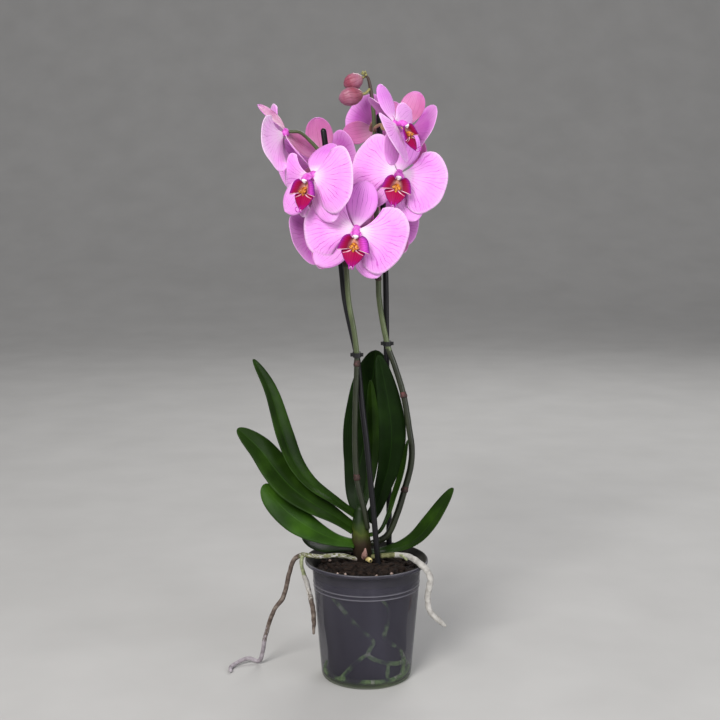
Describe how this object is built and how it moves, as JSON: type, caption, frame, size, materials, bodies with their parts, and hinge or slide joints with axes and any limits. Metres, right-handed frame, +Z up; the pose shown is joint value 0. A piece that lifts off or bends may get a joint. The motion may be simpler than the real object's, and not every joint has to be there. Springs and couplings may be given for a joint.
{
  "type": "potted orchid",
  "caption": "Moth orchid with tall spikes of broad pink blooms clipped to thin stakes, arching strap leaves and loose aerial roots, standing in a translucent tapered nursery pot.",
  "frame": {"origin": "centre of the pot's underside", "axes": "+Z up along the pot's axis, -Y to the front of the plant, where most blooms face, +X to the right as seen from the front"},
  "size_m": [0.2214, 0.1522, 0.582],
  "materials": {
    "pot": "translucent grey-lilac plastic, semi-gloss",
    "bark": "rough dark bark chips",
    "wall_root": "smooth living root, grey-green",
    "root_grey": "dry brown-grey to silver root skin, matt",
    "root_pale": "dry white root skin, matt",
    "stem": "green stem with dry sheaths, satin",
    "leaf": "thick waxy leaf, glossy",
    "spike": "smooth olive flower stem, satin",
    "stake": "black coated rod",
    "clip": "black moulded clip",
    "petal": "soft pink petal, satin",
    "lip": "crimson waxy lip",
    "bud": "dusky rose bud, satin"
  },
  "bodies": {
    "root": {"pot": "pot", "bark_mix": "bark", "pot_roots": "wall_root", "stem_base": "stem", "root_left": "root_grey", "root_right": "root_pale", "leaf_1": "leaf", "leaf_2": "leaf", "leaf_3": "leaf", "leaf_4": "leaf", "leaf_5": "leaf", "leaf_6": "leaf", "leaf_7": "leaf", "leaf_8": "leaf", "leaf_9": "leaf", "spike_left": "spike", "spike_right": "spike", "stake_left": "stake", "stake_right": "stake", "clip_left": "clip", "clip_right": "clip", "bloom_01": "petal", "lip_01": "lip", "bloom_02": "petal", "lip_02": "lip", "bloom_03": "petal", "lip_03": "lip", "bloom_04": "petal", "lip_04": "lip", "bloom_05": "petal", "lip_05": "lip", "bloom_06": "petal", "lip_06": "lip", "bloom_07": "petal", "lip_07": "lip", "bloom_08": "petal", "lip_08": "lip", "bloom_09": "petal", "lip_09": "lip", "bloom_10": "petal", "lip_10": "lip", "bud_1": "bud", "bud_2": "bud"}
  },
  "joints": []
}
